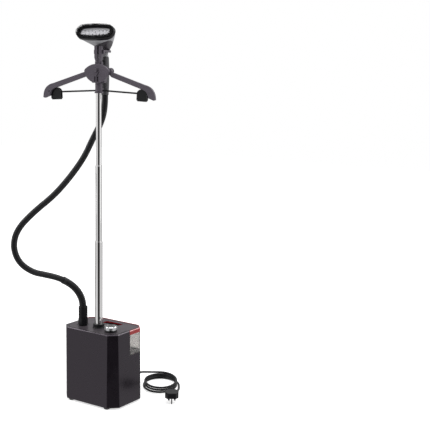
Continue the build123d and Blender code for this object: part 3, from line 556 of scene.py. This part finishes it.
def make_bristles():
    draw = random.Random(4)
    verts, faces = [], []
    outer, inner = BRISTLE_ROWS[0], BRISTLE_ROWS[-1]
    count = int(ROW_LENGTH / BRISTLE_SPACING)
    for inset in BRISTLE_ROWS:
        splay = SPLAY_OUT - (inset - outer) / (inner - outer) * SPLAY_CHANGE
        for k in range(count):
            cx, cy, out_x, out_y = oval_spot(inset, (k + draw.uniform(-TUFT_SHIFT, TUFT_SHIFT)) / count)
            for _ in range(TUFT_BLADES):
                x, y = cx + draw.uniform(-TUFT_R, TUFT_R), cy + draw.uniform(-TUFT_R, TUFT_R)
                lean_x = splay * out_x + draw.uniform(-BLADE_LEAN, BLADE_LEAN)
                lean_y = splay * out_y + draw.uniform(-BLADE_LEAN, BLADE_LEAN)
                height = BRISTLE_LENGTH + draw.uniform(BLADE_SHORTER, BLADE_LONGER)
                levels = (BLADE_ROOT, height * BLADE_BEND[0], height)
                first = len(verts)
                for z, lean, r in zip(levels, (0, BLADE_BEND[1], 1), BLADE_R):
                    bx, by = x + lean_x * lean, y + lean_y * lean
                    for corner in range(3):
                        a = 2 * math.pi * corner / 3
                        verts.append(FACE @ (Vector((bx + r * math.cos(a), by + r * math.sin(a), z)) * MM))
                for ring in (0, 3):
                    for corner in range(3):
                        a, b = first + ring + corner, first + ring + (corner + 1) % 3
                        faces.append((a, b, b + 3, a + 3))
                faces.append((first + 2, first + 1, first))
                faces.append((first + 6, first + 7, first + 8))
    return make_mesh("brush_bristles", verts, faces)


bristles = make_bristles()
paint(bristles, "bristle")
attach(bristles, "steam_head")
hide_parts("bristles")

# ---- spring of the tank's valve, which the plunger squeezes when it lifts ----
SPRING_R = 3.6
SPRING_WIRE = 0.35
SPRING_PITCH = 2.5
SPRING_STEPS = 24           # points in one turn
SPRING_STEP = 0.9 * MM      # from ring to ring of the wire's mesh
SPRING_SIDES = 10


def make_valve_spring():
    low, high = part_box("valve_spring")
    centre = ((low[0] + high[0]) / 2, (low[1] + high[1]) / 2)
    bottom, top = low[2] + SPRING_WIRE * MM, high[2] - SPRING_WIRE * MM
    turns = (top - bottom) / (SPRING_PITCH * MM)
    count = int(turns * SPRING_STEPS)
    path = []
    for k in range(count + 1):
        angle = 2 * math.pi * turns * k / count
        path.append(Vector((
            centre[0] + SPRING_R * MM * math.cos(angle), centre[1] + SPRING_R * MM * math.sin(angle),
            bottom + (top - bottom) * k / count,
        )))
    wire = walk(path, SPRING_STEP)
    return sweep_tube("valve_coil_spring", *wire, lambda s, angle: SPRING_WIRE * MM, SPRING_SIDES)


spring = make_valve_spring()
paint(spring, "steel")
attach(spring, "water_tank")
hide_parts("valve_spring")
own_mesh(spring)

# ---- dark sheet behind the steam plate, seen through its holes: painted shade for the dark chamber behind them ----
HOLE_SHADE_LENGTH = 115.0
HOLE_SHADE_DEPTH = 26.0
HOLE_SHADE_LEVELS = (-8.2, -7.3)        # its back and its front, behind the face
HOLE_SHADE_STEPS = 16                   # facets of each rounded end


def make_hole_shade_sheet():
    r = HOLE_SHADE_DEPTH / 2
    reach = HOLE_SHADE_LENGTH / 2 - r
    rim = []
    for end, first in ((1, -90), (-1, 90)):
        for k in range(HOLE_SHADE_STEPS + 1):
            angle = math.radians(first + 180 * k / HOLE_SHADE_STEPS)
            rim.append((end * reach + r * math.cos(angle), r * math.sin(angle)))
    verts = [FACE @ (Vector((x, y, z)) * MM) for z in HOLE_SHADE_LEVELS for x, y in rim]
    count = len(rim)
    faces = [tuple(reversed(range(count))), tuple(range(count, 2 * count))]
    for k in range(count):
        after = (k + 1) % count
        faces.append((k, after, count + after, count + k))
    return make_mesh("steam_hole_shade_sheet", verts, faces, False)


# a dark sheet as painted shade inside the steam holes
hole_shade_sheet = make_hole_shade_sheet()
paint(hole_shade_sheet, "rubber")
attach(hole_shade_sheet, "steam_head")

# ---- pale collar round the neck of the steam head, which sits in the cradle ----
COLLAR_SECTION = [          # radius and height
    (9.9, 1260.2), (11.9, 1260.2), (12.4, 1260.9), (12.4, 1263.4), (11.2, 1264.6), (10.9, 1266.0),
    (10.9, 1277.6), (10.5, 1278.2), (9.9, 1278.2),
]
COLLAR_SIDES = 48


def make_collar():
    count = len(COLLAR_SECTION)
    verts, faces = [], []
    for k in range(COLLAR_SIDES):
        angle = 2 * math.pi * k / COLLAR_SIDES
        for r, z in COLLAR_SECTION:
            verts.append(HEAD @ (Vector((r * math.cos(angle), r * math.sin(angle), z)) * MM))
    for k in range(COLLAR_SIDES):
        near, far = k * count, (k + 1) % COLLAR_SIDES * count
        for j in range(count):
            after = (j + 1) % count
            faces.append((near + j, far + j, far + after, near + after))
    return make_mesh("neck_collar", verts, faces)


collar = make_collar()
paint(collar, "grey")
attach(collar, "steam_head")

# ---- digits on the control dial ----
DIAL_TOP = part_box("knob_dial")[1][2]
DIGITS = {"0": 39, "1": 70, "2": 97, "3": 129}      # direction of each from the knob's axis
DIGIT_RING = 15.0
DIGIT_SIZE = 5.6 * MM
DIGIT_RAISED = 0.12 * MM
DIGIT_LIFT = 0.05 * MM


def make_digit(digit, direction):
    text = bpy.data.curves.new("digit_shape", "FONT")
    text.body = digit
    text.size = DIGIT_SIZE
    text.extrude = DIGIT_RAISED
    text.align_x = "CENTER"
    text.align_y = "CENTER"
    shape = link(text, "digit_shape")
    bpy.context.view_layer.update()
    piece = link(bpy.data.meshes.new_from_object(shape), "dial_digit_" + digit)
    bpy.data.objects.remove(shape)
    angle = math.radians(direction)
    x, y = KNOB[0] + DIGIT_RING * math.cos(angle), KNOB[1] + DIGIT_RING * math.sin(angle)
    piece.matrix_world = Matrix.Translation((x * MM, y * MM, DIAL_TOP + DIGIT_LIFT)) @ turn(direction - 90)
    return piece


for digit, direction in DIGITS.items():
    piece = make_digit(digit, direction)
    paint(piece, "white")
    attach(piece, "control_knob")

# ---- studio ----
FLOOR_REACH = 9.0
FLOOR_GLOW = 0.62
WORLD_TOWARD = (0.636, -0.772, 0.0)     # level direction that the object's front right faces
# brightness of the surroundings as a light, from behind the object (0) to in front of it (1)
WORLD_STOPS = [
    (0.0, 0.5), (0.3, 0.5), (0.42, 0.6), (0.6, 0.78), (0.88, 0.72), (0.925, 0.3), (0.955, 0.015),
    (1.0, 0.015),
]
LIGHTS = (      # name, place, what it points at, width and height, watts
    ("overhead", (0.2, 0.1, 3.1), (0, 0, 0.3), (2.4, 2.4), 32),
    ("left_side", (-2.4, -1.6, 1.4), (0, 0, 0.8), (0.7, 2.4), 5),
    ("right_side", (2.3, 0.9, 1.4), (0, 0, 0.8), (0.7, 2.4), 5),
    ("left_edge_glow", (-3.6, -2.05, 4.6), (0, 0, 0.4), (1.8, 1.8), 62),
    ("right_edge_glow", (1.2, 2.55, 2.5), (0, 0, 0.4), (0.9, 0.9), 16),
)


def studio_floor():
    """A pale glowing sheet that the camera sees, and that lights nothing."""
    mesh = bpy.data.meshes.new("floor")
    corners = [(-FLOOR_REACH, -FLOOR_REACH, 0), (FLOOR_REACH, -FLOOR_REACH, 0), (FLOOR_REACH, FLOOR_REACH, 0),
               (-FLOOR_REACH, FLOOR_REACH, 0)]
    mesh.from_pydata(corners, [], [(0, 1, 2, 3)])
    floor = link(mesh, "studio_floor")
    paper = surface("studio_paper", (0.9, 0.9, 0.9), 0.6, grain=300, bump=0.02, spread=0.01, specular=0.1)
    shader = paper.node_tree.nodes["Principled BSDF"]
    shader.inputs["Emission Color"].default_value = (1, 1, 1, 1)
    shader.inputs["Emission Strength"].default_value = FLOOR_GLOW
    mesh.materials.append(paper)
    floor.visible_diffuse = False
    floor.visible_glossy = False
    return floor


def studio_world():
    """White to the eye; as a light, dark in front of the faces and brighter to the sides and behind."""
    world = bpy.data.worlds.new("studio")
    bpy.context.scene.world = world
    world.use_nodes = True
    nodes, links = world.node_tree.nodes, world.node_tree.links
    nodes.clear()
    where = nodes.new("ShaderNodeTexCoord")
    toward = nodes.new("ShaderNodeVectorMath")
    toward.operation = "DOT_PRODUCT"
    toward.inputs[1].default_value = WORLD_TOWARD
    links.new(where.outputs["Generated"], toward.inputs[0])
    to_ramp = nodes.new("ShaderNodeMapRange")
    to_ramp.inputs["From Min"].default_value = -1
    to_ramp.inputs["From Max"].default_value = 1
    links.new(toward.outputs["Value"], to_ramp.inputs["Value"])
    shape = nodes.new("ShaderNodeValToRGB")
    ramp = shape.color_ramp
    while len(ramp.elements) < len(WORLD_STOPS):
        ramp.elements.new(0.5)
    for element, (place, value) in zip(ramp.elements, WORLD_STOPS):
        element.position = place
        element.color = (value, value, value, 1)
    links.new(to_ramp.outputs["Result"], shape.inputs["Fac"])
    light = nodes.new("ShaderNodeBackground")
    links.new(shape.outputs["Color"], light.inputs["Color"])
    light.inputs["Strength"].default_value = 1.0
    white = nodes.new("ShaderNodeBackground")
    white.inputs["Color"].default_value = (1, 1, 1, 1)
    white.inputs["Strength"].default_value = 1.0
    rays = nodes.new("ShaderNodeLightPath")
    mix = nodes.new("ShaderNodeMixShader")
    links.new(rays.outputs["Is Camera Ray"], mix.inputs["Fac"])
    links.new(light.outputs["Background"], mix.inputs[1])
    links.new(white.outputs["Background"], mix.inputs[2])
    out = nodes.new("ShaderNodeOutputWorld")
    links.new(mix.outputs["Shader"], out.inputs["Surface"])


def area_light(name, at, aim, size, power):
    data = bpy.data.lights.new(name, "AREA")
    data.shape = "RECTANGLE"
    data.size, data.size_y = size
    data.energy = power
    lamp = link(data, name)
    lamp.location = at
    lamp.rotation_euler = (Vector(aim) - Vector(at)).to_track_quat("-Z", "Y").to_euler()


bpy.context.scene.view_settings.view_transform = "Standard"
floor = studio_floor()
studio_world()
for light_row in LIGHTS:
    area_light(*light_row)
